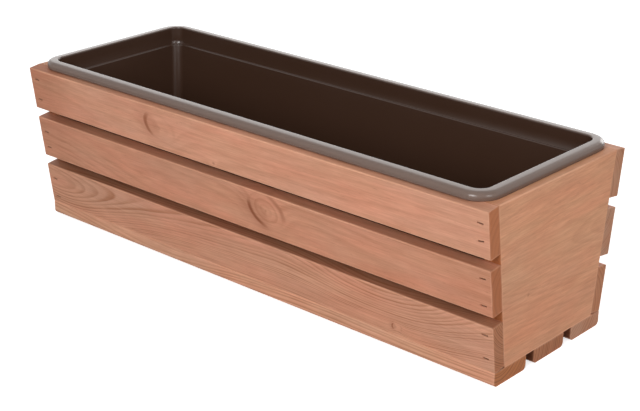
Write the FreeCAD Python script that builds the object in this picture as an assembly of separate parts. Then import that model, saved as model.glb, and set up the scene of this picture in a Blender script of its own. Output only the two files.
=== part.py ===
import FreeCAD, Part
import math
import os

# Window box planter: a slatted softwood crate whose long walls lean out, standing on three
# floor slats, with a moulded plastic liner hung in it by its rolled rim.
# Millimetres. X runs along the box, the front faces -Y, and Z = 0 is the surface it stands on.

Vector = FreeCAD.Vector
X_AXIS = Vector(1, 0, 0)
Y_AXIS = Vector(0, 1, 0)
Z_AXIS = Vector(0, 0, 1)

# ---- crate ----
crate_length = 620.0
board_thickness = 15.0
slat_width = 48.0
slat_gap = 11.0
row_names = ("bottom", "middle", "top")
wall_lean = 8.0              # degrees that the front and rear walls lean out
foot_half_width = 88.0       # from the centre line to the walls' outer faces, at their foot
floor_slat_width = 50.0
panel_thickness = 18.0
wall_arris = 1.0             # planed edges of the wall slats and of the floor slats' top
floor_arris = 4.5            # the floor slats' lower edges are rounded more

# ---- staples ----
crown_width = 6.4
wire_width = 1.2             # seen on the face of the board
wire_depth = 1.0
staple_length = 25.0
staple_shoulder = 0.9        # the bend between crown and leg, as a slant
point_slant = 1.2
crown_sink = 0.5             # the crown is driven below the face
crushed_margin = 0.25        # wood crushed back all round the crown
staple_inset = 9.5           # from the slat's cut end

# Staples were shot by hand: for each row from the bottom up, the height of the lower and
# the upper one on the slat, and how far each is turned, in degrees.
staples_by_end = {
    "left": (((8.0, 2.0), (31.0, 4.0)), ((12.0, 0.0), (31.0, 3.0)), ((12.0, 2.0), (36.0, 5.0))),
    "right": (((13.0, 1.0), (38.0, 0.0)), ((10.0, -2.0), (38.0, -5.0)), ((17.0, -8.0), (35.0, 4.0))),
}
# On the floor slats the heights count forward from the slat's rear edge.
outer_floor_staples = ((6.0, 3.0), (22.0, -4.0))
middle_floor_staples = ((11.0, -2.0), (39.0, 4.0))

# ---- liner ----
rim_half_length = 301.5
rim_half_width = 105.0
rim_corner = 24.0
rim_height = 8.2             # of the skirt, from the wood it rests on to the rim's top
rim_width = 12.0
rim_outer_round = 2.0
rim_inner_round = 3.0
liner_wall = 1.8
liner_height = 160.0
ledge_drop = 19.5            # from the rim's top to the stacking ledge
ledge_width = 2.8
ledge_round = 1.2
upper_draft = 1.4            # how far the short wall above the ledge draws in
long_taper = 20.0            # how far each long wall draws in from the ledge to the floor
end_taper = 18.0
body_round = 10.0            # inside corners, and between walls and floor
bead_length = 470.0          # pressed-up stiffening beads in the floor
bead_width = 12.0
bead_height = 3.0
bead_spread = 34.0           # from the centre line
drain_radius = 6.0           # knock-outs for drain holes, thinned from below
drain_depth = 1.0
drain_pitch = 200.0

# ---- worked out ----
lean = math.radians(wall_lean)
row_pitch = slat_width + slat_gap
wall_run = len(row_names) * slat_width + (len(row_names) - 1) * slat_gap
crate_top = board_thickness + wall_run * math.cos(lean) + board_thickness * math.sin(lean)
rim_top = crate_top + rim_height
ledge_level = rim_top - ledge_drop
liner_bottom = rim_top - liner_height
liner_floor = liner_bottom + liner_wall


def edges_along(solid, axis, keep=lambda middle: True):
    found = []
    for edge in solid.Edges:
        direction = edge.tangentAt(edge.FirstParameter)
        if abs(direction.dot(axis)) > 0.999 and keep(edge.CenterOfMass):
            found.append(edge)
    return found


# ---- boards ----
# A board lies with its outer face on the local plane Y = 0, its thickness along +Y and
# its width along +Z, so a staple driven from outside always goes along +Y.
def batten(width, outer_arris, inner_arris):
    board = Part.makeBox(crate_length, board_thickness, width, Vector(-crate_length / 2, 0, 0))
    middle = board_thickness / 2
    board = board.makeFillet(outer_arris, edges_along(board, X_AXIS, lambda at: at.y < middle))
    return board.makeFillet(inner_arris, edges_along(board, X_AXIS, lambda at: at.y > middle))


def wall_placement(row):
    foot = Vector(0, -foot_half_width, board_thickness)
    up_the_wall = Vector(0, -math.sin(lean), math.cos(lean))
    return FreeCAD.Placement(foot + up_the_wall * (row * row_pitch), FreeCAD.Rotation(X_AXIS, wall_lean))


def floor_placement(rear_edge):
    return FreeCAD.Placement(Vector(0, rear_edge, 0), FreeCAD.Rotation(X_AXIS, 90))


def panel_half_width(height):
    up = height - board_thickness
    return foot_half_width + up * math.tan(lean) - board_thickness / math.cos(lean)


def end_panel(outer_x):
    low = panel_half_width(board_thickness)
    high = panel_half_width(crate_top)
    corners = [
        Vector(0, -low, board_thickness),
        Vector(0, low, board_thickness),
        Vector(0, high, crate_top),
        Vector(0, -high, crate_top),
    ]
    outline = Part.makePolygon(corners + corners[:1])
    panel = Part.Face(outline).extrude(Vector(panel_thickness, 0, 0))
    panel = panel.makeFillet(wall_arris, edges_along(panel, Y_AXIS, lambda at: at.z > crate_top / 2))
    inner_x = outer_x - panel_thickness if outer_x > 0 else outer_x
    return panel.translated(Vector(inner_x, 0, 0))


# ---- staples ----
# One staple, and the crushed pocket over its crown. The wire is flat, its legs end in
# slanted points, and turn is about the way it is driven.
def staple_at(end_sign, height, turn):
    half = crown_width / 2
    inner = half - wire_depth
    bend = half - staple_shoulder
    tip = crown_sink + staple_length
    one_side = [
        Vector(bend, crown_sink, 0),
        Vector(half, crown_sink + staple_shoulder, 0),
        Vector(half, tip, 0),
        Vector(inner, tip - point_slant, 0),
        Vector(inner, crown_sink + wire_depth, 0),
    ]
    other_side = [Vector(-point.x, point.y, 0) for point in reversed(one_side)]
    outline = Part.makePolygon(one_side + other_side + one_side[:1])
    staple = Part.Face(outline).extrude(Vector(0, 0, wire_width))
    staple.translate(Vector(0, 0, -wire_width / 2))
    across = crown_width + 2 * crushed_margin
    pocket = Part.makeBox(
        across, crown_sink + wire_depth + 1, wire_width + 2 * crushed_margin,
        Vector(-across / 2, -1, -wire_width / 2 - crushed_margin),
    )
    spot = FreeCAD.Placement(
        Vector(end_sign * (crate_length / 2 - staple_inset), 0, height),
        FreeCAD.Rotation(Y_AXIS, turn),
    )
    staple.Placement = spot.multiply(staple.Placement)
    pocket.Placement = spot.multiply(pocket.Placement)
    return staple, pocket


# Cuts the staples' seats in one board, and returns the board and the staples by end.
def staple_down(board, placement, marks_by_end):
    staples = {}
    seats = []
    for end, end_sign in (("left", -1), ("right", 1)):
        staples[end] = []
        for height, turn in marks_by_end[end]:
            staple, pocket = staple_at(end_sign, height, turn)
            seats += [staple.copy(), pocket]
            staple.Placement = placement.multiply(staple.Placement)
            staples[end].append(staple)
    board = board.cut(seats)
    board.Placement = placement.multiply(board.Placement)
    return board, staples


def mirrored(solid):
    return solid.mirror(Vector(0, 0, 0), Y_AXIS)


# ---- liner ----
def rim_outline(height):
    half_x, half_y, radius = rim_half_length, rim_half_width, rim_corner
    edges = []
    corners = ((half_x, -half_y), (half_x, half_y), (-half_x, half_y), (-half_x, -half_y))
    for index, (x, y) in enumerate(corners):
        centre = Vector(x - math.copysign(radius, x), y - math.copysign(radius, y), height)
        first_angle = (index - 1) * 90
        points = []
        for angle in (first_angle, first_angle + 45, first_angle + 90):
            spoke = Vector(math.cos(math.radians(angle)), math.sin(math.radians(angle)), 0)
            points.append(centre + spoke * radius)
        if edges:
            edges.append(Part.makeLine(edges[-1].Vertexes[-1].Point, points[0]))
        edges.append(Part.Arc(*points).toShape())
    edges.append(Part.makeLine(edges[-1].Vertexes[-1].Point, edges[0].Vertexes[0].Point))
    return Part.Wire(edges)


# Joins points (inset from the rim's edge, height) by lines, with an arc of the given radius
# at each point that has one.
def wall_section(points):
    places = [Vector(0, -rim_half_width + inset, height) for inset, height, radius in points]
    radii = [radius for inset, height, radius in points]
    count = len(places)
    edges = []
    ends = []
    for index, corner in enumerate(places):
        if radii[index] == 0:
            ends.append((corner, corner))
            continue
        towards = (places[index - 1] - corner).normalize()
        away = (places[(index + 1) % count] - corner).normalize()
        half_angle = towards.getAngle(away) / 2
        reach = radii[index] / math.tan(half_angle)
        depth = radii[index] / math.sin(half_angle) - radii[index]
        first = corner + towards * reach
        last = corner + away * reach
        middle = corner + (towards + away).normalize() * depth
        edges.append(Part.Arc(first, middle, last).toShape())
        ends.append((first, last))
    for index in range(count):
        edges.append(Part.makeLine(ends[index - 1][1], ends[index][0]))
    return Part.Wire(Part.sortEdges(edges)[0])


# The rim, the short upper wall and the plate of the stacking ledge have one section all
# round, so that section is swept along the rim's outline. The plate reaches in past the
# lower walls and is trimmed when the hollow is cut.
def rim_and_ledge():
    shoulder = rim_width + upper_draft
    plate_reach = rim_corner - 3
    section = wall_section([
        (0, crate_top, 0),
        (0, rim_top, rim_outer_round),
        (rim_width, rim_top, rim_inner_round),
        (shoulder, ledge_level, 0),
        (plate_reach, ledge_level, 0),
        (plate_reach, ledge_level - liner_wall, 0),
        (shoulder - liner_wall, ledge_level - liner_wall, 0),
        (rim_width - liner_wall, rim_top - liner_wall, 0),
        (liner_wall, rim_top - liner_wall, 0),
        (liner_wall, crate_top, 0),
    ])
    return rim_outline(crate_top).makePipeShell([section], True, True)


# The tapered body below the ledge, thicker than its hollow by skin on every side.
def tapered_block(bottom, top, skin):
    def half_sizes(height):
        drawn_in = (ledge_level - height) / (ledge_level - liner_floor)
        inset = rim_width + upper_draft + ledge_width - skin
        half_x = rim_half_length - inset - end_taper * drawn_in
        half_y = rim_half_width - inset - long_taper * drawn_in
        return half_x, half_y

    low_x, low_y = half_sizes(bottom)
    high_x, high_y = half_sizes(top)
    # a wedge narrows along its own Y, so it is made lying down and then stood up
    block = Part.makeWedge(-low_x, bottom, -low_y, -high_y, -high_x, low_x, top, low_y, high_y, high_x)
    block.rotate(Vector(0, 0, 0), X_AXIS, 90)
    lower_edges = [edge for edge in block.Edges if edge.CenterOfMass.z < top - 1]
    return block.makeFillet(body_round + skin, lower_edges)


# A stiffening bead is a long round-ended ridge, pressed up from below, so its outside
# stands on the floor and its hollow opens underneath.
def floor_bead(centre_y, base, skin):
    radius = bead_width / 2 - skin
    reach = bead_length / 2 - bead_width / 2
    bead = Part.makeBox(2 * reach, 2 * radius, bead_height, Vector(-reach, centre_y - radius, base))
    for x in (-reach, reach):
        bead = bead.fuse(Part.makeCylinder(radius, bead_height, Vector(x, centre_y, base)))
    return bead.removeSplitter()


# The ledge's inner edge, where a pot or another liner would sit, is rounded over.
def round_ledge(body):
    reach = rim_width + upper_draft + ledge_width
    shelf = FreeCAD.BoundBox(
        reach - rim_half_length, reach - rim_half_width, ledge_level,
        rim_half_length - reach, rim_half_width - reach, ledge_level,
    )
    shelf.enlarge(0.1)
    return body.makeFillet(ledge_round, [edge for edge in body.Edges if shelf.isInside(edge.BoundBox)])


def liner_solid():
    body = tapered_block(liner_bottom, ledge_level - liner_wall, liner_wall)
    body = body.fuse(rim_and_ledge())
    body = body.cut(tapered_block(liner_floor, rim_top, 0)).removeSplitter()
    body = round_ledge(body)
    for centre_y in (-bead_spread, bead_spread):
        body = body.fuse(floor_bead(centre_y, liner_floor, 0))
        body = body.cut(floor_bead(centre_y, liner_bottom, liner_wall))
    for x in (-drain_pitch, 0, drain_pitch):
        body = body.cut(Part.makeCylinder(drain_radius, drain_depth, Vector(x, 0, liner_bottom)))
    return body


# ---- assembly ----
def build_nodes():
    nodes = {}
    staples = {}
    wall_board = batten(slat_width, wall_arris, wall_arris)
    floor_board = batten(floor_slat_width, floor_arris, wall_arris)

    for end in ("left", "right"):
        for group in ("front", "rear", "floor"):
            staples[group, end] = []

    for row, row_name in enumerate(row_names):
        marks = {end: staples_by_end[end][row] for end in staples_by_end}
        slat, driven = staple_down(wall_board.copy(), wall_placement(row), marks)
        nodes["front_slat_" + row_name] = slat
        nodes["rear_slat_" + row_name] = mirrored(slat)
        for end in ("left", "right"):
            staples["front", end] += driven[end]
            staples["rear", end] += [mirrored(staple) for staple in driven[end]]

    marks = dict.fromkeys(("left", "right"), outer_floor_staples)
    outer_edge = floor_placement(-foot_half_width + floor_slat_width)
    slat, driven = staple_down(floor_board.copy(), outer_edge, marks)
    nodes["floor_slat_front"] = slat
    nodes["floor_slat_rear"] = mirrored(slat)
    for end in ("left", "right"):
        staples["floor", end] += driven[end] + [mirrored(staple) for staple in driven[end]]

    marks = dict.fromkeys(("left", "right"), middle_floor_staples)
    slat, driven = staple_down(floor_board.copy(), floor_placement(floor_slat_width / 2), marks)
    nodes["floor_slat_middle"] = slat
    for end in ("left", "right"):
        staples["floor", end] += driven[end]

    for end, outer_x in (("left", -crate_length / 2), ("right", crate_length / 2)):
        legs = staples["front", end] + staples["rear", end] + staples["floor", end]
        nodes["end_panel_" + end] = end_panel(outer_x).cut(legs)
        for group in ("front", "rear", "floor"):
            nodes["staples_" + group + "_" + end] = Part.makeCompound(staples[group, end])

    nodes["liner"] = liner_solid()
    return nodes


os.makedirs("parts", exist_ok=True)
for name, shape in build_nodes().items():
    shape.exportStep("parts/" + name + ".step")
    print(name, shape.isValid(), len(shape.Solids), round(shape.Volume / 1000, 1), "cm3")
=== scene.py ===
import math
import bmesh
import bpy
from mathutils import Euler, Matrix, Vector


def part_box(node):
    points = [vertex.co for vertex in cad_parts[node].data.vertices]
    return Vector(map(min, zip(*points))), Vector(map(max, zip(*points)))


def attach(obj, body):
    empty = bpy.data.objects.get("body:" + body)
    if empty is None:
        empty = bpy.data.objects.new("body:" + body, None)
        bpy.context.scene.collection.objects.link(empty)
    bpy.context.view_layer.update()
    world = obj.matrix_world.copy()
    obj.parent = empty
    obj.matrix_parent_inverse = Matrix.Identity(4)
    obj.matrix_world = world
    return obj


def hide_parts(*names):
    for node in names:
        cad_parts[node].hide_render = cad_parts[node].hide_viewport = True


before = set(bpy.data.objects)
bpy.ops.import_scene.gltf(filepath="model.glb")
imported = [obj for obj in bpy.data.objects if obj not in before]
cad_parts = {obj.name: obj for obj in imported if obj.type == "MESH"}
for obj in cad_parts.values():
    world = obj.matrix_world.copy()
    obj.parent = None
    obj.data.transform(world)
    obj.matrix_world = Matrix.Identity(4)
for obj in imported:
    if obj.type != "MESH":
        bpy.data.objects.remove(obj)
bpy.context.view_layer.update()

# Window box planter in metres: X along the box, the front faces -Y, Z up.
# The boards are stained softwood, the liner is a moulded plastic tray hung in them.

wallLean = math.radians(8)      # the long walls lean out this much
footHalfWidth = 0.088           # centre line to the walls' outer faces, at their foot
boardThickness = 0.015
slatWidth = 0.048
rowPitch = 0.059
floorSlatWidth = 0.050
rows = ("bottom", "middle", "top")
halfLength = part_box("front_slat_top")[1][0]      # of every slat

# the kinds of node that the trees use most
maths = "ShaderNodeMath"
vectorMaths = "ShaderNodeVectorMath"
splitVector = "ShaderNodeSeparateXYZ"
mapRange = "ShaderNodeMapRange"
mixed = "ShaderNodeMix"
noise = "ShaderNodeTexNoise"
smooth = {"interpolation_type": "SMOOTHSTEP"}


def linear(hexColour):
    # sRGB hex to the linear colour that sockets take
    channels = [int(hexColour[at:at + 2], 16) / 255 for at in (1, 3, 5)]
    return [c / 12.92 if c <= 0.04045 else ((c + 0.055) / 1.055) ** 2.4 for c in channels] + [1.0]


def addNode(tree, kind, inputs=(), **settings):
    # one node with its settings; the inputs are in the sockets' order or keyed by socket, each a
    # value, a socket, or a node whose first output is used
    node = tree.nodes.new(kind)
    for name, value in settings.items():
        setattr(node, name, value)
    if not isinstance(inputs, dict):
        inputs = dict(enumerate(inputs))
    for key, value in inputs.items():
        if isinstance(value, bpy.types.Node):
            value = value.outputs[0]
        if isinstance(value, bpy.types.NodeSocket):
            tree.links.new(value, node.inputs[key])
        else:
            node.inputs[key].default_value = value
    return node


def newMaterial(name):
    material = bpy.data.materials.new(name)
    material.use_nodes = True
    material.node_tree.nodes.clear()
    return material


def setMaterial(piece, material):
    piece.data.materials.clear()
    piece.data.materials.append(material)


def link(piece):
    bpy.context.scene.collection.objects.link(piece)
    return piece


# Stained softwood: planed spruce battens, dipped in a thin reddish-brown stain. It sinks into
# the soft early wood and leaves low-contrast rings, fine fibre streaks and darker thirsty end
# grain. The arrises are paler, partly worn and partly a painted highlight where they catch the
# light, and the narrow sides in the gaps between boards carry painted shade. Pairs of mm are
# along the grain and across it.
woodFinish = {
    "early": "#D29A7B",          # the wide pale part of each year's ring
    "late": "#985628",           # the narrow dark part
    "flush": "#D79577",          # warmer clouds where the stain took evenly
    "grey": "#C2957C",           # duller clouds
    "greyShare": 0.35,           # how much of that colour they have
    "knot": "#8A4A28",
    "resinDark": 0.3,            # how much of that colour the wood round a knot has
    "pinDark": 0.4,
    "fleckDark": 0.25,
    "edge": "#E6AE8E",           # worn arris, lightened further as a painted highlight of the arris catching the light
    "endGrain": "#B46C40",
    "endLate": "#7C4522",
    "endDry": "#B98A6F",         # cut ends that weathered
    "ringContrast": 0.9,
    # how dark the wood is at a share of one year's growth
    "yearGrowth": ((0.35, 0.15), (0.68, 0.85), (0.82, 1.0)),
    "yearPace": 0.37,            # how soon the years' widths change
    "yearSpread": 1.3,           # how far they change
    "faintestYear": 0.4,
    "slowWander": (190, 80),     # mm, over which the rings stray
    "quickWander": (50, 18),     # mm, smaller waves in them
    "quickShare": 0.16,          # how far those go, as a share of the slow ones
    "ringPatch": (80, 18),       # mm, stretches where the rings show more
    "flushCloud": (85, 22),      # mm
    "greyCloud": (110, 30),      # mm
    "blotch": (34, 11),          # mm, small uneven patches of stain
    "blotchTone": (0.955, 1.035),
    "fibre": (26, 1.0),          # mm, coarser than real fibres so that it shows
    "fibreTone": (0.9, 1.08),    # the darkest and the lightest, as are the other tones
    "grainStreak": (75, 3.2),    # mm, bundles of fibres that took more or less stain
    "grainStreakTone": (0.965, 1.03),
    "fleck": (8, 0.8),           # mm, short dark pores
    "knotReach": 0.87,           # above 1 a knot pushes only the rings close to it
    "pinKnot": (5, 4),           # mm, half sizes
    "pinPush": 3,                # mm that a pin knot pushes the rings aside
    "edgeWidth": 1.2,            # mm of the arris that is paler
    "darkeningFromEnd": (90, 20),       # mm from a cut end, where the darkening starts and is full
    "deeperGreen": 1.3,          # where the wood is darker, by thick stain or painted shade, green and blue fall faster than red
    "deeperBlue": 1.6,
    "earlyRoughness": 0.56,
    "lateRoughness": 0.46,
    "fibreRoughness": 0.14,
    "bump": 0.35,
    "bumpDepth": 0.3,            # mm
    "ior": 1.45,
    "specular": 0.4,
}
boundless = 9999                 # mm, so that a knot goes right through its board
offTheBoard = 9000               # mm, where a knot lies that a board does not have


def makeWoodGroup():
    tree = bpy.data.node_groups.new("stainedSoftwood", "ShaderNodeTree")
    vector, number = "NodeSocketVector", "NodeSocketFloat"
    for name, kind in (
        ("Place", vector), ("Half Size", vector), ("Heart", vector), ("Drift", vector), ("Taper", number),
        ("Bend A", vector), ("Bend A Shift", vector), ("Bend B", vector), ("Bend B Shift", vector),
        ("Bend C", vector), ("Bend C Shift", vector),
        ("Ring Width", number), ("Crowding", number), ("Ring Strength", number), ("Wander", number),
        ("Knot", vector), ("Knot Size", vector), ("Knot Turn", number), ("Knot Push", number),
        ("Knot Rings", number), ("Knot Pressed", vector), ("Knot Dark", vector),
        ("Pin", vector), ("Tone", vector), ("Painted Side Shades", vector), ("End Slope", number),
        ("End Dry", number), ("End Darkening", vector), ("Seed", number),
    ):
        tree.interface.new_socket(name=name, in_out="INPUT", socket_type=kind)
    for name, kind in (("Color", "NodeSocketColor"), ("Roughness", number), ("Height", number)):
        tree.interface.new_socket(name=name, in_out="OUTPUT", socket_type=kind)
    given = tree.nodes.new("NodeGroupInput").outputs
    place = given["Place"]

    def patches(cell, detail=2.0, roughness=0.5, shift=0):
        # soft patches drawn out along the grain, of a size in woodFinish
        long, wide = woodFinish[cell]
        spot = addNode(tree, vectorMaths, [place, (1 / long, 1 / wide, 1 / wide)], operation="MULTIPLY")
        seed = addNode(tree, maths, [given["Seed"], shift], operation="ADD")
        return addNode(
            tree, noise,
            {"Vector": spot, "W": seed, "Scale": 1.0, "Detail": detail, "Roughness": roughness},
            noise_dimensions="4D",
        )

    def stray(spot, cell, reach, shift):
        # moved across the grain, by nothing to half of reach times Wander
        drift = patches(cell, detail=1, shift=shift).outputs["Color"]
        drift = addNode(tree, vectorMaths, [drift, (0.5, 0.5, 0.5)], operation="SUBTRACT")
        drift = addNode(tree, vectorMaths, [drift, (0, reach, reach)], operation="MULTIPLY")
        drift = addNode(tree, vectorMaths, {0: drift, "Scale": given["Wander"]}, operation="SCALE")
        return addNode(tree, vectorMaths, [spot, drift], operation="ADD")

    def hump(away):
        # 1 at no distance, and nearly gone past a distance of 2
        squared = addNode(tree, maths, [away, away], operation="MULTIPLY")
        below = addNode(tree, maths, [squared, -1], operation="MULTIPLY")
        return addNode(tree, maths, [below], operation="EXPONENT")

    # the trunk's heart line runs behind the board, and bends nearer to it or away in three places
    along, _, across = addNode(tree, splitVector, [place]).outputs
    drifted = addNode(tree, vectorMaths, {0: given["Drift"], "Scale": along}, operation="SCALE")
    heart = addNode(tree, vectorMaths, [drifted, given["Heart"]], operation="ADD")
    for name in ("Bend A", "Bend B", "Bend C"):
        middle, reach, _ = addNode(tree, splitVector, [given[name]]).outputs
        away = addNode(tree, maths, [along, middle], operation="SUBTRACT")
        share = hump(addNode(tree, maths, [away, reach], operation="DIVIDE"))
        bent = addNode(tree, vectorMaths, {0: given[name + " Shift"], "Scale": share}, operation="SCALE")
        heart = addNode(tree, vectorMaths, [heart, bent], operation="ADD")
    wandered = stray(place, "slowWander", 1.0, 3)
    wandered = stray(wandered, "quickWander", woodFinish["quickShare"], 8)
    fromHeart = addNode(tree, vectorMaths, [wandered, heart], operation="SUBTRACT")
    fromHeart = addNode(tree, vectorMaths, [fromHeart, (0, 1, 1)], operation="MULTIPLY")
    radius = addNode(tree, vectorMaths, [fromHeart], operation="LENGTH").outputs["Value"]
    widened = addNode(tree, maths, [along, given["Taper"]], operation="MULTIPLY")
    radius = addNode(tree, maths, [radius, widened], operation="SUBTRACT")

    # a knot and a pin knot push the rings out round themselves
    def fromKnot(spot, size, turn=0.0):
        # how far off a point is, with 1 at the knot's edge, and in which direction
        away = addNode(tree, vectorMaths, [wandered, spot], operation="SUBTRACT")
        away = addNode(tree, "ShaderNodeVectorRotate", {0: away, "Angle": turn}, rotation_type="Y_AXIS")
        away = addNode(tree, vectorMaths, [away, size], operation="DIVIDE")
        return addNode(tree, vectorMaths, [away], operation="LENGTH").outputs["Value"], away

    pinLong, pinWide = woodFinish["pinKnot"]
    knotAway, knotOffset = fromKnot(given["Knot"], given["Knot Size"], given["Knot Turn"])
    pinAway, _ = fromKnot(given["Pin"], (pinLong, boundless, pinWide))
    reached = addNode(tree, maths, [knotAway, woodFinish["knotReach"]], operation="MULTIPLY")
    radius = addNode(tree, maths, [hump(reached), given["Knot Push"], radius], operation="MULTIPLY_ADD")
    radius = addNode(tree, maths, [hump(pinAway), woodFinish["pinPush"], radius], operation="MULTIPLY_ADD")

    def lateWood(years):
        # a slow pale rise, then a dark band that ends sharply; no two years are alike
        slowYears = addNode(tree, maths, [years, woodFinish["yearPace"]], operation="MULTIPLY")
        slowYears = addNode(tree, maths, [slowYears, given["Seed"]], operation="ADD")
        uneven = addNode(tree, noise, {"W": slowYears, "Scale": 1.0, "Detail": 1.0}, noise_dimensions="1D")
        years = addNode(tree, maths, [uneven, woodFinish["yearSpread"], years], operation="MULTIPLY_ADD")
        band = addNode(tree, "ShaderNodeValToRGB", [addNode(tree, maths, [years], operation="FRACT")])
        band.color_ramp.interpolation = "EASE"
        for end in band.color_ramp.elements:
            end.color = (0, 0, 0, 1)
        for position, level in woodFinish["yearGrowth"]:
            band.color_ramp.elements.new(position).color = (level, level, level, 1)
        thatYear = addNode(tree, maths, [years], operation="FLOOR")
        thatYear = addNode(tree, maths, [thatYear, given["Seed"]], operation="ADD")
        chance = addNode(tree, "ShaderNodeTexWhiteNoise", {"W": thatYear}, noise_dimensions="1D")
        strength = addNode(tree, mapRange, [
            chance.outputs["Value"], 0, 1, woodFinish["faintestYear"], 1.0,
        ], **smooth)
        return addNode(tree, maths, [band, strength], operation="MULTIPLY")

    years = addNode(tree, maths, [radius, given["Ring Width"]], operation="DIVIDE")
    years = addNode(tree, maths, [years, 0], operation="MAXIMUM")
    band = lateWood(addNode(tree, maths, [years, given["Crowding"]], operation="POWER"))
    patchy = addNode(tree, mapRange, [patches("ringPatch", shift=15), 0.35, 0.65, 0.55, 1.0], **smooth)
    late = addNode(tree, maths, [band, patchy], operation="MULTIPLY")
    late = addNode(tree, maths, [late, given["Ring Strength"]], operation="MULTIPLY")
    nearDark, farDark, ringsDark = addNode(tree, splitVector, [given["Knot Dark"]]).outputs
    knotRings = addNode(tree, maths, [knotAway, given["Knot Rings"]], operation="MULTIPLY")
    knotRings = addNode(tree, maths, [lateWood(knotRings), ringsDark], operation="MULTIPLY")
    inKnot = addNode(tree, mapRange, [knotAway, 1.02, 0.86], **smooth)
    late = addNode(tree, mixed, {0: inKnot, 2: late, 3: knotRings})

    # the knot's rim is dark on the side that the fibres press against, and a little on the other
    rimFrom = addNode(tree, mapRange, [knotAway, 0.72, 0.94], **smooth)
    rimTo = addNode(tree, mapRange, [knotAway, 1.16, 0.98], **smooth)
    rim = addNode(tree, maths, [rimFrom, rimTo], operation="MULTIPLY")
    outward = addNode(tree, vectorMaths, [knotOffset], operation="NORMALIZE")
    pressed = addNode(tree, vectorMaths, [outward, given["Knot Pressed"]], operation="DOT_PRODUCT")
    pressed = pressed.outputs["Value"]
    nearSide = addNode(tree, mapRange, [pressed, 0.45, 0.98], **smooth)
    nearSide = addNode(tree, maths, [nearSide, nearDark], operation="MULTIPLY")
    farSide = addNode(tree, mapRange, [pressed, -0.55, -1.0], **smooth)
    farSide = addNode(tree, maths, [farSide, farDark], operation="MULTIPLY")
    darkest = addNode(tree, maths, [nearSide, farSide], operation="MAXIMUM")
    darkest = addNode(tree, maths, [rim, darkest], operation="MULTIPLY")
    # resin has soaked into the wood that the knot presses on
    resin = addNode(tree, mapRange, [knotAway, 1.9, 1.0], **smooth)
    onPressed = addNode(tree, mapRange, [pressed, 0.2, 0.95], **smooth)
    for share in (onPressed, nearDark, woodFinish["resinDark"]):
        resin = addNode(tree, maths, [resin, share], operation="MULTIPLY")
    pin = addNode(tree, mapRange, [pinAway, 0.55, 0.15, 0, woodFinish["pinDark"]], **smooth)
    fleck = patches("fleck", detail=1, shift=26)
    fleck = addNode(tree, mapRange, [fleck, 0.66, 0.76, 0, woodFinish["fleckDark"]], **smooth)
    for mark in (resin, pin, fleck):
        darkest = addNode(tree, maths, [darkest, mark], operation="MAXIMUM")

    # the clouds in how the stain took, then the rings and the marks, each over those before
    cloud = patches("flushCloud", detail=3, shift=31)
    dull = patches("greyCloud", detail=2, shift=37)
    colour = linear(woodFinish["early"])
    for share, layer in (
        (addNode(tree, mapRange, [cloud, 0.3, 0.7], **smooth), "flush"),
        (addNode(tree, mapRange, [dull, 0.4, 0.72, 0, woodFinish["greyShare"]], **smooth), "grey"),
        (addNode(tree, maths, [late, woodFinish["ringContrast"]], operation="MULTIPLY"), "late"),
        (darkest, "knot"),
    ):
        colour = addNode(tree, mixed, {0: share, 6: colour, 7: linear(woodFinish[layer])}, data_type="RGBA")
        colour = colour.outputs[2]

    # how far a point is past the board's half size: about 0 on a cut end, a face or a narrow side
    beyond = addNode(tree, vectorMaths, [place], operation="ABSOLUTE")
    beyond = addNode(tree, vectorMaths, [beyond, given["Half Size"]], operation="SUBTRACT")
    overX, overY, overZ = addNode(tree, splitVector, [beyond]).outputs
    slope = addNode(tree, maths, [across, given["End Slope"]], operation="MULTIPLY")
    overX = addNode(tree, maths, [overX, slope], operation="SUBTRACT")
    # painted shade: a board's upper and lower narrow sides, which lie in the gaps between boards, are
    # darkened by their own factors
    upperShade, lowerShade, _ = addNode(tree, splitVector, [given["Painted Side Shades"]]).outputs
    isUpper = addNode(tree, maths, [across, 0], operation="GREATER_THAN")
    paintedSideShade = addNode(tree, mixed, {0: isUpper, 2: lowerShade, 3: upperShade})
    paintedSideShade = addNode(tree, mapRange, [overZ, -0.7, -0.1, 1.0, paintedSideShade], **smooth)
    # the board is darker towards its cut ends, the left and the right by their own share
    starts, full = woodFinish["darkeningFromEnd"]
    leftDarkening, rightDarkening, _ = addNode(tree, splitVector, [given["End Darkening"]]).outputs
    isRight = addNode(tree, maths, [along, 0], operation="GREATER_THAN")
    endDarkening = addNode(tree, mixed, {0: isRight, 2: leftDarkening, 3: rightDarkening})
    nearEnd = addNode(tree, mapRange, [overX, -starts, -full], **smooth)
    endDarkening = addNode(tree, maths, [endDarkening, nearEnd], operation="MULTIPLY")
    undarkened = addNode(tree, maths, [1, endDarkening], operation="SUBTRACT")

    # streaks of fibres, bundles of them and blotches, all darker or lighter by a few percent, times
    # the painted side shade and the darkening towards the cut ends
    fibre = patches("fibre", detail=3, roughness=0.65, shift=20)
    grainStreak = patches("grainStreak", detail=2, shift=23)
    blotch = patches("blotch", detail=3, roughness=0.6, shift=43)
    streaksAndShade = addNode(tree, mapRange, [fibre, 0.25, 0.75, *woodFinish["fibreTone"]], **smooth)
    for share in (
        addNode(tree, mapRange, [grainStreak, 0.3, 0.7, *woodFinish["grainStreakTone"]], **smooth),
        addNode(tree, mapRange, [blotch, 0.32, 0.68, *woodFinish["blotchTone"]], **smooth),
        paintedSideShade, undarkened,
    ):
        streaksAndShade = addNode(tree, maths, [streaksAndShade, share], operation="MULTIPLY")
    greener = addNode(tree, maths, [streaksAndShade, woodFinish["deeperGreen"]], operation="POWER")
    bluer = addNode(tree, maths, [streaksAndShade, woodFinish["deeperBlue"]], operation="POWER")
    streaksAndShade = addNode(tree, "ShaderNodeCombineXYZ", [streaksAndShade, greener, bluer])
    colour = addNode(tree, vectorMaths, [colour, streaksAndShade], operation="MULTIPLY")
    colour = addNode(tree, vectorMaths, [colour, given["Tone"]], operation="MULTIPLY")

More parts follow.
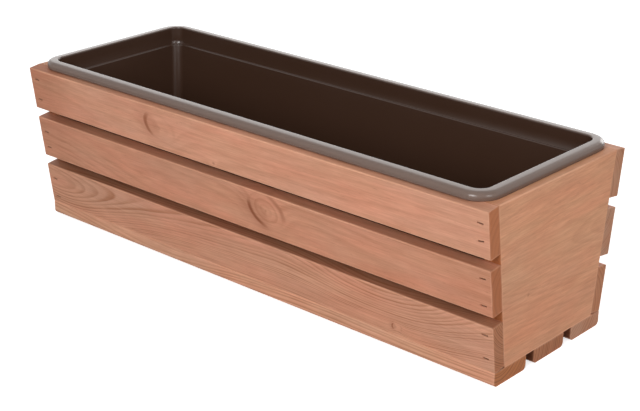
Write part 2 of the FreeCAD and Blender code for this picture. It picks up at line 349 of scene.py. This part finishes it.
    # end grain shows the rings as they are, on wood that drank more or has dried out
    weathered = addNode(tree, mapRange, [cloud, 0.35, 0.6, 0.7, 1.1], **smooth)
    weathered = addNode(tree, maths, [weathered, given["End Dry"]], operation="MULTIPLY")
    endRings = addNode(tree, maths, [band, given["Ring Strength"]], operation="MULTIPLY")
    endRings = addNode(tree, maths, [endRings, 1.1], operation="MULTIPLY", use_clamp=True)
    endColour = linear(woodFinish["endGrain"])
    for share, layer in ((weathered, "endDry"), (endRings, "endLate")):
        endColour = addNode(tree, mixed, {0: share, 6: endColour, 7: linear(woodFinish[layer])},
                            data_type="RGBA").outputs[2]
    endColour = addNode(tree, vectorMaths, [endColour, given["Tone"]], operation="MULTIPLY")
    onEnd = addNode(tree, mapRange, [overX, -0.25, -0.1], **smooth)
    colour = addNode(tree, mixed, {0: onEnd, 6: colour, 7: endColour}, data_type="RGBA").outputs[2]

    # paler arrises, partly worn and partly a painted highlight where they catch the light, lie near
    # two faces at once, and show less beside a cut end
    lengthwise = addNode(tree, maths, [overY, overZ], operation="MINIMUM")
    acrossFace = addNode(tree, maths, [overX, overY], operation="MINIMUM")
    acrossSide = addNode(tree, maths, [overX, overZ], operation="MINIMUM")
    arris = addNode(tree, maths, [acrossFace, lengthwise], operation="MAXIMUM")
    arris = addNode(tree, maths, [arris, acrossSide], operation="MAXIMUM")
    edge = woodFinish["edgeWidth"]
    wornArrisAndHighlight = addNode(tree, mapRange, [arris, -edge - 0.3, -edge + 0.6], **smooth)
    for share in (
        addNode(tree, mapRange, [patchy, 0.5, 1.0, 0.2, 0.6], **smooth),
        addNode(tree, mapRange, [overX, -2.0, -1.0, 1.0, 0.5], **smooth),
    ):
        wornArrisAndHighlight = addNode(tree, maths, [wornArrisAndHighlight, share], operation="MULTIPLY")
    colour = addNode(tree, mixed, {0: wornArrisAndHighlight, 6: colour, 7: linear(woodFinish["edge"])}, data_type="RGBA")

    matt = addNode(tree, mapRange, [
        late, 0, 1, woodFinish["earlyRoughness"], woodFinish["lateRoughness"],
    ], **smooth)
    rough = addNode(tree, maths, [fibre, woodFinish["fibreRoughness"], matt], operation="MULTIPLY_ADD")
    height = addNode(tree, maths, [late, 0.4], operation="MULTIPLY")
    height = addNode(tree, maths, [fibre, 0.6, height], operation="MULTIPLY_ADD")
    addNode(tree, "NodeGroupOutput", {"Color": colour.outputs[2], "Roughness": rough, "Height": height})
    return tree


woodGroup = makeWoodGroup()


def woodMaterial(name, board):
    material = newMaterial(name)
    tree = material.node_tree
    turn = board["turn"]
    toMillimetres = Vector((1, board.get("flip", 1), 1)) * 1000       # the rear slats are mirrored
    shift = -(turn.to_matrix() @ (toMillimetres * board["centre"]))
    objectPlace = addNode(tree, "ShaderNodeTexCoord")
    place = addNode(tree, "ShaderNodeMapping", {
        "Vector": objectPlace.outputs["Object"], "Location": shift,
        "Rotation": turn, "Scale": toMillimetres,
    })
    wood = addNode(tree, "ShaderNodeGroup", {"Place": place}, node_tree=woodGroup)
    straight = (0, 1, 0, 0)      # a bend that shifts nothing
    bends = board.get("bends", []) + [straight] * 3
    for socket, (at, reach, deeper, higher) in zip(("Bend A", "Bend B", "Bend C"), bends):
        wood.inputs[socket].default_value = (at, reach, 0)
        wood.inputs[socket + " Shift"].default_value = (0, deeper, higher)
    knot = board.get("knot", absentKnot)
    pressed = math.radians(knot["pressed"])
    for socket, value in (
        ("Half Size", board["halfSize"]), ("Heart", (0, *board["heart"])), ("Drift", (0, *board["drift"])),
        ("Taper", board.get("taper", 0)), ("Ring Width", board["ringWidth"]),
        ("Crowding", board.get("crowding", 1)), ("Ring Strength", board["ringStrength"]),
        ("Wander", board.get("wander", 6)), ("Painted Side Shades", (*board.get("paintedSideShades", (0.9, 0.9)), 0)),
        ("Knot", (knot["along"], 0, knot["across"])),
        ("Knot Size", (knot["long"], boundless, knot["wide"])),
        ("Knot Turn", math.radians(knot["turn"])), ("Knot Push", knot["push"]),
        ("Knot Rings", knot["rings"]), ("Knot Dark", knot["dark"]),
        ("Knot Pressed", (math.cos(pressed), 0, math.sin(pressed))),
        ("Pin", board.get("pin", (offTheBoard, 0, 0))), ("Tone", board["tone"]), ("Seed", board["seed"]),
        ("End Slope", board.get("endSlope", 0)), ("End Dry", board.get("endDry", 0.1)),
        ("End Darkening", (*board.get("endDarkening", (0, 0)), 0)),
    ):
        wood.inputs[socket].default_value = value
    bump = addNode(tree, "ShaderNodeBump", {
        "Height": wood.outputs["Height"], "Strength": woodFinish["bump"],
        "Distance": woodFinish["bumpDepth"] / 1000,
    })
    shader = addNode(tree, "ShaderNodeBsdfPrincipled", {
        "Base Color": wood.outputs["Color"], "Roughness": wood.outputs["Roughness"], "Normal": bump,
    })
    shader.inputs["IOR"].default_value = woodFinish["ior"]
    shader.inputs["Specular IOR Level"].default_value = woodFinish["specular"]
    addNode(tree, "ShaderNodeOutputMaterial", {"Surface": shader})
    return material


# A knot, in mm from the board's middle: its place, its half sizes, how far it tips and how far
# it pushes the rings aside. pressed is the direction of its dark rim in degrees, and dark says
# how dark that side, the other side and its own rings are.
def knotAt(along, across, long, wide, turn=0, push=14, rings=3.0, pressed=215, dark=(0.7, 0.3, 0.3)):
    return {"along": along, "across": across, "long": long, "wide": wide, "turn": turn,
            "push": push, "rings": rings, "pressed": pressed, "dark": dark}


absentKnot = knotAt(offTheBoard, 0, 10, 10)

# How each board was sawn from its log, in mm: where the heart lies behind and above the
# board's middle, how that drifts per mm of length, and its bends, each with its place, its
# reach and how much deeper and higher the heart is there. taper is how much the trunk widens
# per mm. Rings crowd together away from the heart where crowding is above 1. tone is how the
# board took the stain in red, green and blue, and soaked is how much darker its left and right
# ends are made. paintedSideShades are painted shade on its upper and lower narrow sides, which lie in
# the gaps between boards and on a floor slat face the front and the rear. endDry is how far its
# cut ends have weathered.
sawing = {
    "front_slat_top": {
        "heart": (34, -22), "drift": (0, -0.01), "taper": 0.03,
        "bends": [(-330, 130, -16, 8), (60, 120, -4, -8)],
        "ringWidth": 6.5, "ringStrength": 0.24, "pin": (-30, 0, -20),
        "tone": (0.97, 0.96, 0.98), "endDarkening": (0.22, 0), "seed": 1.3,
        "knot": knotAt(-104, 1, 24, 16, turn=-20, push=12, rings=2.4, pressed=200, dark=(0.8, 0, 0.15)),
    },
    "front_slat_middle": {
        "heart": (25, -12), "drift": (0.02, 0), "taper": -0.02, "bends": [(-330, 190, 10, 60)],
        "ringWidth": 5.0, "ringStrength": 0.27,
        "tone": (0.89, 0.85, 0.84), "paintedSideShades": (0.86, 0.86), "endDarkening": (0.08, 0.06), "seed": 4.1,
        "knot": knotAt(37.5, 5.5, 25, 18.5, turn=-22, push=15, rings=3.4, pressed=235,
                       dark=(0.95, 0.45, 0.3)),
    },
    "front_slat_bottom": {
        "heart": (24, 33), "drift": (0.045, 0),
        "bends": [(-340, 80, -19, 0), (-270, 125, 0, -25), (185, 85, -24, 2)],
        "ringWidth": 9.0, "crowding": 1.6, "ringStrength": 0.8,
        "tone": (0.93, 0.96, 0.99), "paintedSideShades": (0.63, 0.63), "endDarkening": (0.04, 0), "endDry": 0.35,
        "seed": 7.7,
        "knot": knotAt(197, -15, 6, 4.5, push=4, rings=1.5, pressed=180, dark=(0.95, 0.2, 0.2)),
    },
    "rear_slat_top": {
        "heart": (30, -20), "drift": (0.01, 0.02), "taper": 0.03, "bends": [(-200, 110, -22, 14)],
        "ringWidth": 4.2, "ringStrength": 0.4, "pin": (-150, 0, 9),
        "tone": (0.96, 0.95, 0.93), "endDry": 0.8, "seed": 11.9,
        "knot": knotAt(88, 7, 18, 12, turn=-10, push=10),
    },
    "rear_slat_middle": {
        "heart": (26, 34), "drift": (0.015, -0.02), "bends": [(190, 100, -20, -18)],
        "ringWidth": 7.0, "crowding": 1.5, "ringStrength": 0.6, "pin": (52, 0, 3),
        "tone": (0.98, 0.98, 0.98), "endDry": 1.0, "seed": 14.2,
        "knot": knotAt(-170, -9, 14, 10, push=9, pressed=20),
    },
    "rear_slat_bottom": {
        "heart": (40, -26), "drift": (-0.012, 0.028), "taper": -0.03, "bends": [(-90, 120, -22, 14)],
        "ringWidth": 4.4, "ringStrength": 0.4, "pin": (-60, 0, -12),
        "tone": (0.96, 0.92, 0.86), "endDry": 0.5, "seed": 17.6,
        "knot": knotAt(215, 4, 17, 12, turn=12, push=11, pressed=160),
    },
    "floor_slat_front": {
        "heart": (28, 10), "drift": (0.01, 0.02), "bends": [(-150, 120, -16, 0)],
        "ringWidth": 3.0, "ringStrength": 0.85,
        "tone": (1.0, 1.11, 1.16), "paintedSideShades": (1.0, 0.3), "endDry": 0.0, "seed": 21.0,
    },
    "floor_slat_middle": {
        "heart": (6, 60), "drift": (0.008, 0.01), "ringWidth": 2.8, "ringStrength": 0.9,
        "tone": (0.9, 0.86, 0.8), "paintedSideShades": (0.3, 0.3), "endDry": 0.5, "seed": 24.4,
    },
    "floor_slat_rear": {
        "heart": (30, 48), "drift": (0.01, -0.02), "ringWidth": 4.0, "ringStrength": 0.45,
        "tone": (1.0, 1.0, 1.0), "paintedSideShades": (0.3, 1.0), "endDry": 1.0, "seed": 27.8,
    },
    "end_panel_right": {
        "heart": (7, 12), "drift": (-0.02, 0.02), "taper": 0.14, "ringWidth": 5.5, "ringStrength": 0.2,
        "wander": 5, "pin": (-41, 0, -21), "tone": (0.99, 0.98, 0.88), "seed": 31.5,
    },
    "end_panel_left": {
        "heart": (14, -26), "drift": (0.03, 0.04), "taper": -0.12, "ringWidth": 5.0,
        "ringStrength": 0.4,
        "wander": 5, "pin": (44, 0, -38), "tone": (0.96, 0.95, 0.88), "seed": 35.1,
        "knot": knotAt(-36, 22, 15, 11, push=9),
    },
}
panelHalfSize = (84.55, 9, 83.2)     # mm, half its width at mid height, its thickness and its height


def placeBoards():
    # each board's own frame: X along the grain, Y from its outer face inwards, Z across it
    for index, row in enumerate(rows):
        up = index * rowPitch + slatWidth / 2
        inward = boardThickness / 2
        centre = Vector((
            0,
            -footHalfWidth + inward * math.cos(wallLean) - up * math.sin(wallLean),
            boardThickness + inward * math.sin(wallLean) + up * math.cos(wallLean),
        ))
        # the rear wall mirrors the front one
        shared = {
            "turn": Euler((-wallLean, 0, 0)),
            "halfSize": Vector((halfLength, boardThickness / 2, slatWidth / 2)) * 1000,
        }
        sawing["front_slat_" + row].update(shared, centre=centre)
        sawing["rear_slat_" + row].update(shared, centre=centre * Vector((1, -1, 1)), flip=-1)
    outer = footHalfWidth - floorSlatWidth / 2
    for name, y in (("front", -outer), ("middle", 0), ("rear", outer)):
        sawing["floor_slat_" + name].update(
            centre=Vector((0, y, boardThickness / 2)), turn=Euler((-math.pi / 2, 0, 0)),
            halfSize=Vector((halfLength, boardThickness / 2, floorSlatWidth / 2)) * 1000)
    for name, side in (("left", -1), ("right", 1)):
        low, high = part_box("end_panel_" + name)
        sawing["end_panel_" + name].update(
            centre=(Vector(low) + Vector(high)) / 2, turn=Euler((0, 0, -math.pi / 2 * side)),
            halfSize=panelHalfSize, endSlope=math.tan(wallLean))


placeBoards()
for name, board in sawing.items():
    setMaterial(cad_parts[name], woodMaterial("stainedSpruce_" + name, board))
print("boards stained:", len(sawing))


# Staples: narrow crowns of galvanised wire, shot by hand and driven just below the face. The
# stain went over them, so the zinc shows only where it wore through.
staples = {
    "crownWidth": 6.4,           # mm, as are the sizes below
    "wireWidth": 1.2,
    "wireDepth": 1.0,
    "bendRadius": 1.0,
    "legLength": 23.8,
    "sink": 0.5,
    "inset": 9.5,                # from the slat's cut end
    "wireCorner": 0.2,           # share of the wire's depth
    "bendSteps": 4,
    "cornerSteps": 2,
    "zinc": "#8E705B",
    "stained": "#6C4531",
    "patch": 1.6,                # mm, patches of stain along the wire
    "patchShare": 0.3,           # how much those add to each staple's own wear
    "zincShows": (0.5, 0.8),     # the wear where zinc starts to show, and where it is bare
    "metallic": (0.3, 0.9),      # stained and bare
    "roughness": (0.6, 0.42),
    "seed": 5,
    # rows from the bottom up: two staples each, their height on the slat in mm and turn in degrees
    "left": (((8, 2), (31, 4)), ((12, 0), (31, 3)), ((12, 2), (36, 5))),
    "right": (((13, 1), (38, 0)), ((10, -2), (38, -5)), ((17, -8), (35, 4))),
    "outerFloor": ((6, 3), (22, -4)),      # counted across the floor slat
    "middleFloor": ((11, -2), (39, 4)),
}


def staplePlaces():
    # each staple's place on the face of its board, and its turn: crown along the board, legs inwards
    foot = Vector((0, -footHalfWidth, boardThickness))
    up = Vector((0, -math.sin(wallLean), math.cos(wallLean)))
    inwards = Vector((0, math.cos(wallLean), math.sin(wallLean)))
    faces = [
        (foot + up * index * rowPitch, up, inwards, left, right)
        for index, (left, right) in enumerate(zip(staples["left"], staples["right"]))
    ]
    forward, upwards = Vector((0, -1, 0)), Vector((0, 0, 1))
    outer, middle = staples["outerFloor"], staples["middleFloor"]
    faces.append((Vector((0, floorSlatWidth - footHalfWidth, 0)), forward, upwards, outer, outer))
    # the rear was shot as the front was, in mirror image
    mirror = Vector((1, -1, 1))
    faces += [
        (foot * mirror, up * mirror, inwards * mirror, left, right)
        for foot, up, inwards, left, right in faces
    ]
    faces.append((Vector((0, floorSlatWidth / 2, 0)), forward, upwards, middle, middle))
    places = []
    for foot, up, inwards, left, right in faces:
        for side, pair in ((-1, left), (1, right)):
            fromMiddle = Vector((side * (halfLength - staples["inset"] / 1000), 0, 0))
            for height, turn in pair:
                turn = math.radians(turn)
                crown = Vector((math.cos(turn), 0, 0)) - up * math.sin(turn)
                axes = Matrix((crown, inwards, crown.cross(inwards))).transposed()
                places.append((foot + up * height / 1000 + fromMiddle, axes.to_euler()))
    return places


def makeStapleTree():
    tree = bpy.data.node_groups.new("shotStaples", "GeometryNodeTree")
    number = "NodeSocketFloat"
    for name, kind in (
        ("Places", "NodeSocketGeometry"), ("Crown Width", number), ("Wire Width", number),
        ("Wire Depth", number), ("Leg Length", number), ("Sink", number), ("Bend Radius", number),
        ("Seed", "NodeSocketInt"), ("Material", "NodeSocketMaterial"),
    ):
        tree.interface.new_socket(name=name, in_out="INPUT", socket_type=kind)
    tree.interface.new_socket(name="Geometry", in_out="OUTPUT", socket_type="NodeSocketGeometry")
    given = tree.nodes.new("NodeGroupInput").outputs

    # the wire's centre line: down one leg, across the crown, down the other
    legAt = addNode(tree, maths, [given["Crown Width"], given["Wire Depth"]], operation="SUBTRACT")
    legAt = addNode(tree, maths, [legAt, 2], operation="DIVIDE")
    otherLeg = addNode(tree, maths, [legAt, -1], operation="MULTIPLY")
    crownAt = addNode(tree, maths, [given["Wire Depth"], 0.5, given["Sink"]], operation="MULTIPLY_ADD")
    pointAt = addNode(tree, maths, [given["Sink"], given["Leg Length"]], operation="ADD")
    corners = {}
    for name, spot in (
        ("Point 1", (otherLeg, pointAt)), ("Point 2", (otherLeg, crownAt)),
        ("Point 3", (legAt, crownAt)), ("Point 4", (legAt, pointAt)),
    ):
        corners[name] = addNode(tree, "ShaderNodeCombineXYZ", spot)
    line = addNode(tree, "GeometryNodeCurvePrimitiveQuadrilateral", corners, mode="POINTS")
    line = addNode(tree, "GeometryNodeSetSplineCyclic", {"Geometry": line, "Cyclic": False})
    line = addNode(tree, "GeometryNodeFilletCurve", {
        "Curve": line, "Radius": given["Bend Radius"], "Count": staples["bendSteps"],
        "Limit Radius": True,
    }, mode="POLY")
    line = addNode(tree, "GeometryNodeSetCurveNormal", {"Curve": line}, mode="Z_UP")

    # the flat wire's section, swept along it
    corner = addNode(tree, maths, [given["Wire Depth"], staples["wireCorner"]], operation="MULTIPLY")
    wire = addNode(tree, "GeometryNodeCurvePrimitiveQuadrilateral", {
        "Width": given["Wire Depth"], "Height": given["Wire Width"],
    }, mode="RECTANGLE")
    wire = addNode(tree, "GeometryNodeFilletCurve", {
        "Curve": wire, "Radius": corner, "Count": staples["cornerSteps"], "Limit Radius": True,
    }, mode="POLY")
    staple = addNode(tree, "GeometryNodeCurveToMesh", {
        "Curve": line, "Profile Curve": wire, "Fill Caps": True,
    })

    turned = addNode(tree, "GeometryNodeInputNamedAttribute", {"Name": "turned"}, data_type="FLOAT_VECTOR")
    turned = addNode(tree, "FunctionNodeEulerToRotation", [turned])
    shot = addNode(tree, "GeometryNodeInstanceOnPoints", {
        "Points": given["Places"], "Instance": staple, "Rotation": turned,
    })
    wear = addNode(tree, "FunctionNodeRandomValue", {"Seed": given["Seed"]}, data_type="FLOAT")
    shot = addNode(tree, "GeometryNodeStoreNamedAttribute", {
        "Geometry": shot, "Name": "wear", "Value": wear.outputs[1],
    }, data_type="FLOAT", domain="INSTANCE")
    shot = addNode(tree, "GeometryNodeRealizeInstances", {"Geometry": shot})
    shot = addNode(tree, "GeometryNodeSetMaterial", {"Geometry": shot, "Material": given["Material"]})
    addNode(tree, "NodeGroupOutput", {"Geometry": shot})
    return tree


def stapleMaterial():
    material = newMaterial("stainedZincWire")
    tree = material.node_tree
    objectPlace = addNode(tree, "ShaderNodeTexCoord").outputs["Object"]
    smear = addNode(tree, noise, {
        "Vector": objectPlace, "Scale": 1000 / staples["patch"], "Detail": 3.0,
    })
    wear = addNode(tree, "ShaderNodeAttribute", attribute_name="wear").outputs["Fac"]
    worn = addNode(tree, maths, [wear, staples["patchShare"], smear], operation="MULTIPLY_ADD")
    zinc = addNode(tree, mapRange, [worn, *staples["zincShows"]], **smooth)
    colour = addNode(tree, mixed, {
        0: zinc, 6: linear(staples["stained"]), 7: linear(staples["zinc"]),
    }, data_type="RGBA")
    metal = addNode(tree, mapRange, [zinc, 0, 1, *staples["metallic"]])
    rough = addNode(tree, mapRange, [zinc, 0, 1, *staples["roughness"]])
    shader = addNode(tree, "ShaderNodeBsdfPrincipled", {
        "Base Color": colour.outputs[2], "Metallic": metal, "Roughness": rough,
    })
    addNode(tree, "ShaderNodeOutputMaterial", {"Surface": shader})
    return material


def makeStaples():
    places = staplePlaces()
    mesh = bpy.data.meshes.new("staple_places")
    mesh.from_pydata([spot for spot, turn in places], [], [])
    turned = mesh.attributes.new("turned", "FLOAT_VECTOR", "POINT")
    for index, (spot, turn) in enumerate(places):
        turned.data[index].vector = turn
    guide = link(bpy.data.objects.new("staple_places", mesh))
    shoot = guide.modifiers.new("shoot staples", "NODES")
    shoot.node_group = makeStapleTree()
    wire = stapleMaterial()
    values = {
        "Crown Width": staples["crownWidth"] / 1000, "Wire Width": staples["wireWidth"] / 1000,
        "Wire Depth": staples["wireDepth"] / 1000, "Leg Length": staples["legLength"] / 1000,
        "Sink": staples["sink"] / 1000, "Bend Radius": staples["bendRadius"] / 1000,
        "Seed": staples["seed"], "Material": wire,
    }
    for socket in shoot.node_group.interface.items_tree:
        if socket.in_out == "INPUT" and socket.name in values:
            shoot[socket.identifier] = values[socket.name]
    evaluated = guide.evaluated_get(bpy.context.evaluated_depsgraph_get())
    shot = bpy.data.meshes.new_from_object(evaluated)
    guide.modifiers.remove(shoot)
    bpy.data.objects.remove(guide)
    shot.name = "staples"
    piece = link(bpy.data.objects.new("staples", shot))
    setMaterial(piece, wire)     # the one slot, without the guide's empty one before it
    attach(piece, "crate")
    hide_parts(*[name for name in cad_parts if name.startswith("staples_")])
    return piece


staplePiece = makeStaples()
print("staples shot:", len(staplePiece.data.polygons), "faces")


# Liner: injection-moulded polypropylene, chocolate brown: satin, with a faint flow texture and
# the grey sheen that a dark plastic takes from a bright room. On the rim that sheen is also
# painted into the colour, as a paler brown.
linerFinish = {
    "body": "#422D22",
    "rim": "#6E5A50",            # painted sheen: the rim is painted paler, for the grey reflection of a bright room on it
    "paintedSheenEdge": (0.1, 0.7),     # mm out from the rim's inner edge, where the painted sheen starts and is full
    "paintedSheenDepth": (8.4, 8.0),    # mm under the rim's top, the same
    "rimWidth": 12.0,            # mm, from its inner edge to its outer one
    "rimCorner": 24.0,           # mm, the radius of its outer edge at a corner
    "cutBelow": 8.7,             # mm under the rim's top, where the roll grows out of the wall
    "wallMiddle": 12.3,          # mm from the corner's centre to the middle of the wall there
    # the rolled rim's section in mm: how far out from the corner's centre, and how far down
    "rimSection": (
        (11.95, 3.2), (12.0, 1.6), (12.2, 0.8), (12.65, 0.25), (13.3, 0.0), (14.2, 0.0), (17.0, 0.05),
        (18.8, 0.15), (20.3, 0.45), (21.6, 1.05), (22.6, 1.85), (23.35, 2.85), (23.8, 4.0), (24.0, 5.3),
        (24.0, 7.5), (23.8, 8.0), (23.3, 8.2), (22.7, 8.15), (22.3, 7.8), (22.2, 5.6), (21.9, 4.3),
        (21.0, 3.1), (19.6, 2.2), (17.5, 1.9), (14.9, 2.0), (14.0, 2.7), (13.7, 4.0),
    ),
    "flow": 75,                  # mm, the broadest of the faint flow marks
    "stipple": 1.4,              # mm, the mould's texture, coarser than the real one so that it shows
    "bump": 0.05,
    "bumpDepth": 0.2,            # mm
    "roughness": (0.2, 0.27),    # between the flow marks and in them
    "ior": 1.49,
    "weld": 0.01,                # mm
    "keepSharp": 50,             # degrees, and sharper bends stay edges
    "flatWeight": 80,
}


def linerMaterial():
    material = newMaterial("mouldedPolypropylene")
    tree = material.node_tree
    objectPlace = addNode(tree, "ShaderNodeTexCoord").outputs["Object"]
    flow = addNode(tree, noise, {
        "Vector": objectPlace, "Scale": 1000 / linerFinish["flow"], "Detail": 4.0,
    })
    stipple = addNode(tree, noise, {
        "Vector": objectPlace, "Scale": 1000 / linerFinish["stipple"], "Detail": 2.0,
    })
    # how far a point is inside the rim's rounded outline, seen from above
    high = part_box("liner")[1]
    radius = linerFinish["rimCorner"] / 1000
    centre = (high[0] - radius, high[1] - radius, 0)
    past = addNode(tree, vectorMaths, [objectPlace, (1, 1, 0)], operation="MULTIPLY")
    past = addNode(tree, vectorMaths, [past], operation="ABSOLUTE")
    past = addNode(tree, vectorMaths, [past, centre], operation="SUBTRACT")
    past = addNode(tree, vectorMaths, [past, (0, 0, 0)], operation="MAXIMUM")
    spoke = addNode(tree, vectorMaths, [past], operation="LENGTH").outputs["Value"]
    innerEdge = radius - linerFinish["rimWidth"] / 1000
    edge = [innerEdge + reach / 1000 for reach in linerFinish["paintedSheenEdge"]]
    depth = [high[2] - reach / 1000 for reach in linerFinish["paintedSheenDepth"]]
    # painted sheen: past its inner edge, the rim's top and outer side are painted paler than the body
    onRim = addNode(tree, mapRange, [spoke, *edge], **smooth)
    height = addNode(tree, splitVector, [objectPlace]).outputs[2]
    onTop = addNode(tree, mapRange, [height, *depth])
    paintedSheen = addNode(tree, maths, [onRim, onTop], operation="MULTIPLY")
    colour = addNode(tree, mixed, {
        0: paintedSheen, 6: linear(linerFinish["body"]), 7: linear(linerFinish["rim"]),
    }, data_type="RGBA")
    rough = addNode(tree, mapRange, [flow, 0.2, 0.8, *linerFinish["roughness"]])
    bump = addNode(tree, "ShaderNodeBump", {
        "Height": stipple, "Strength": linerFinish["bump"], "Distance": linerFinish["bumpDepth"] / 1000,
    })
    shader = addNode(tree, "ShaderNodeBsdfPrincipled", {
        "Base Color": colour.outputs[2], "Roughness": rough, "Normal": bump,
    })
    shader.inputs["IOR"].default_value = linerFinish["ior"]
    addNode(tree, "ShaderNodeOutputMaterial", {"Surface": shader})
    return material


def outwards(point, centre):
    # the spoke from the rim's corner centre, or straight out along a side: foot, direction, length
    past = Vector((max(abs(point.x) - centre.x, 0), max(abs(point.y) - centre.y, 0), 0))
    spoke = Vector((math.copysign(past.x, point.x), math.copysign(past.y, point.y), 0))
    return point - spoke, spoke.normalized(), spoke.length


def walkLoop(edges):
    # the loop's vertices in order
    start = edges[0].verts[0]
    loop, at, left = [start], edges[0].verts[1], set(edges[1:])
    while at is not start:
        loop.append(at)
        following = next(edge for edge in at.link_edges if edge in left)
        left.discard(following)
        at = following.other_vert(at)
    return loop


def rollRim(shell, high):
    # cut the plain rim off the moulding and sweep the rolled one up from its wall
    cut = high[2] - linerFinish["cutBelow"] / 1000
    radius = linerFinish["rimCorner"] / 1000
    centre = Vector((high[0] - radius, high[1] - radius, 0))
    parts = shell.verts[:] + shell.edges[:] + shell.faces[:]
    sliced = bmesh.ops.bisect_plane(
        shell, geom=parts, plane_co=(0, 0, cut), plane_no=(0, 0, 1), clear_outer=True)
    rimless = [edge for edge in sliced["geom_cut"] if isinstance(edge, bmesh.types.BMEdge)]
    wallMiddle = linerFinish["wallMiddle"] / 1000
    inner = [edge for edge in rimless if outwards(edge.verts[0].co, centre)[2] < wallMiddle]
    outer = [edge for edge in rimless if outwards(edge.verts[0].co, centre)[2] > wallMiddle]
    loop = walkLoop(inner)
    ring = loop
    for out, down in linerFinish["rimSection"]:
        made = []
        for vert in loop:
            foot, spoke, _ = outwards(vert.co, centre)
            spot = foot + spoke * out / 1000
            made.append(shell.verts.new((spot.x, spot.y, high[2] - down / 1000)))
        for index, vert in enumerate(ring):
            after = (index + 1) % len(ring)
            shell.faces.new((vert, ring[after], made[after], made[index]))
        ring = made
    last = [shell.edges.get((ring[index - 1], ring[index])) for index in range(len(ring))]
    bmesh.ops.bridge_loops(shell, edges=last + outer)
    bmesh.ops.recalc_face_normals(shell, faces=shell.faces[:])


def makeLinerShell():
    # the moulding's own mesh, merged so that its rounds shade smoothly into its flats
    shell = bmesh.new()
    shell.from_mesh(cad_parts["liner"].data)
    bmesh.ops.remove_doubles(shell, verts=shell.verts, dist=linerFinish["weld"] / 1000)
    rollRim(shell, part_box("liner")[1])
    mesh = bpy.data.meshes.new("liner_shell")
    shell.to_mesh(mesh)
    shell.free()
    mesh.shade_smooth()
    mesh.set_sharp_from_angle(angle=math.radians(linerFinish["keepSharp"]))
    piece = link(bpy.data.objects.new("liner_shell", mesh))
    weighted = piece.modifiers.new("flats keep flat", "WEIGHTED_NORMAL")
    weighted.keep_sharp = True
    weighted.weight = linerFinish["flatWeight"]
    setMaterial(piece, linerMaterial())
    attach(piece, "liner")
    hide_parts("liner")
    return piece


linerShell = makeLinerShell()
print("liner smoothed:", len(linerShell.data.polygons), "faces")


# floor, light and camera
studio = {
    "floorSize": 12.0,
    "floorColour": "#E9E9E9",
    "floorLift": 0.68,           # what the camera sees of the floor is lifted to white, shadows stay
    "roomLight": 0.3,
    "lampAim": (0, 0, 0.1),
    # each lamp's place, its width and its watts
    "lamps": {
        "key": ((0.55, -1.68, 1.0), 0.8, 18),
        "fill": ((1.95, -0.35, 1.0), 1.0, 9),
        "top": ((0.1, -0.2, 2.4), 1.6, 1.5),
        "back": ((-1.5, 1.7, 0.95), 2.4, 13),
        "rear": ((0.1, 2.2, 0.75), 1.2, 13),
        "small_lamp_0": ((0.27, -1.74, 1.14), 0.07, 1.0),
        "small_lamp_1": ((1.92, -0.38, 1.10), 0.07, 1.0),
    },
}


def makeFloor():
    half = studio["floorSize"] / 2
    corners = [(-half, -half, 0), (half, -half, 0), (half, half, 0), (-half, half, 0)]
    mesh = bpy.data.meshes.new("studio_floor")
    mesh.from_pydata(corners, [], [(0, 1, 2, 3)])
    floor = link(bpy.data.objects.new("studio_floor", mesh))
    material = newMaterial("whitePaper")
    tree = material.node_tree
    paper = addNode(tree, "ShaderNodeBsdfDiffuse", {"Color": linear(studio["floorColour"])})
    seen = addNode(tree, "ShaderNodeLightPath").outputs["Is Camera Ray"]
    lift = addNode(tree, maths, [seen, studio["floorLift"]], operation="MULTIPLY")
    glow = addNode(tree, "ShaderNodeEmission", {"Strength": lift})
    both = addNode(tree, "ShaderNodeAddShader", [paper, glow])
    addNode(tree, "ShaderNodeOutputMaterial", {"Surface": both})
    setMaterial(floor, material)


def makeRoom():
    # white where it is seen or mirrored, and dimmer as a light
    world = bpy.data.worlds.new("studio_room")
    bpy.context.scene.world = world
    world.use_nodes = True
    tree = world.node_tree
    tree.nodes.clear()
    rays = addNode(tree, "ShaderNodeLightPath").outputs
    white = rays["Is Camera Ray"]
    for ray in ("Is Glossy Ray", "Is Transmission Ray"):
        white = addNode(tree, maths, [white, rays[ray]], operation="MAXIMUM")
    strength = addNode(tree, mapRange, [white, 0, 1, studio["roomLight"], 1.0])
    light = addNode(tree, "ShaderNodeBackground", {"Color": (1, 1, 1, 1), "Strength": strength})
    addNode(tree, "ShaderNodeOutputWorld", {"Surface": light})


def makeLamp(name, place, size, power):
    lamp = bpy.data.lights.new(name, "AREA")
    lamp.shape = "DISK"
    lamp.size = size
    lamp.energy = power
    holder = link(bpy.data.objects.new(name, lamp))
    holder.location = place
    aim = Vector(studio["lampAim"]) - Vector(place)
    holder.rotation_euler = aim.to_track_quat("-Z", "Y").to_euler()


view = {
    "place": (0.99443, -1.10784, 0.67331),
    "target": (-0.00250, 0.02606, 0.05910),
    "roll": 0.48,                # degrees, the horizon dips this much
    "lens": 85.566,
    "sensorWidth": 36,
}


def makeCamera():
    camera = bpy.data.cameras.new("photo_view")
    camera.lens = view["lens"]
    camera.sensor_width = view["sensorWidth"]
    holder = link(bpy.data.objects.new("photo_view", camera))
    holder.location = view["place"]
    aim = (Vector(view["target"]) - Vector(view["place"])).to_track_quat("-Z", "Y")
    roll = Euler((0, 0, math.radians(view["roll"])))
    holder.rotation_euler = (aim @ roll.to_quaternion()).to_euler()
    bpy.context.scene.camera = holder


makeFloor()
makeRoom()
for name, (place, size, power) in studio["lamps"].items():
    makeLamp(name, place, size, power)
makeCamera()
bpy.context.scene.view_settings.view_transform = "Standard"
print("studio set")
